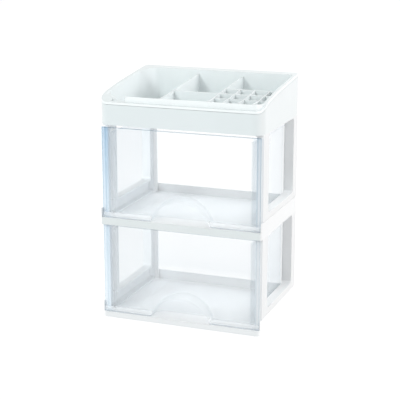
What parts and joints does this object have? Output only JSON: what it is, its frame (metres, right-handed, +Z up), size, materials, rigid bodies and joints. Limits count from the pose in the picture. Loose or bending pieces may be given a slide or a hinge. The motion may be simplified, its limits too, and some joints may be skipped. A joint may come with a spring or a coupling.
{
  "type": "brush holder with drawer",
  "caption": "Vanity organiser with a compartment tray for brushes and make-up over clear pull-out drawers in a white frame with open sides.",
  "frame": {"origin": "centre of the footprint on the surface the organiser stands on", "axes": "+Z up, -Y out of the front (the way the drawers open), +X to the right seen from the front"},
  "size_m": [0.26, 0.184, 0.3733],
  "materials": {
    "white_frame": "satin white polystyrene",
    "white_panel": "satin white polystyrene",
    "white_tray": "satin white polystyrene",
    "clear_drawer": "polished clear polystyrene, faint blue"
  },
  "bodies": {
    "carcass": {"base_frame": "white_frame", "middle_frame": "white_frame", "top_frame": "white_frame", "lower_left_side_panel": "white_panel", "lower_right_side_panel": "white_panel", "upper_left_side_panel": "white_panel", "upper_right_side_panel": "white_panel"},
    "lower_drawer_body": {"lower_drawer": "clear_drawer"},
    "upper_drawer_body": {"upper_drawer": "clear_drawer"},
    "tray_body": {"compartment_tray": "white_tray"}
  },
  "joints": [
    {"name": "lower_drawer_slide", "type": "slide", "parent": "carcass", "child": "lower_drawer_body", "axis": [0, -1, 0], "range_m": [0, 0.12]},
    {"name": "upper_drawer_slide", "type": "slide", "parent": "carcass", "child": "upper_drawer_body", "axis": [0, -1, 0], "range_m": [0, 0.12]},
    {"name": "tray_lift", "type": "slide", "parent": "carcass", "child": "tray_body", "axis": [0, 0, 1], "range_m": [0, 0.07]}
  ]
}
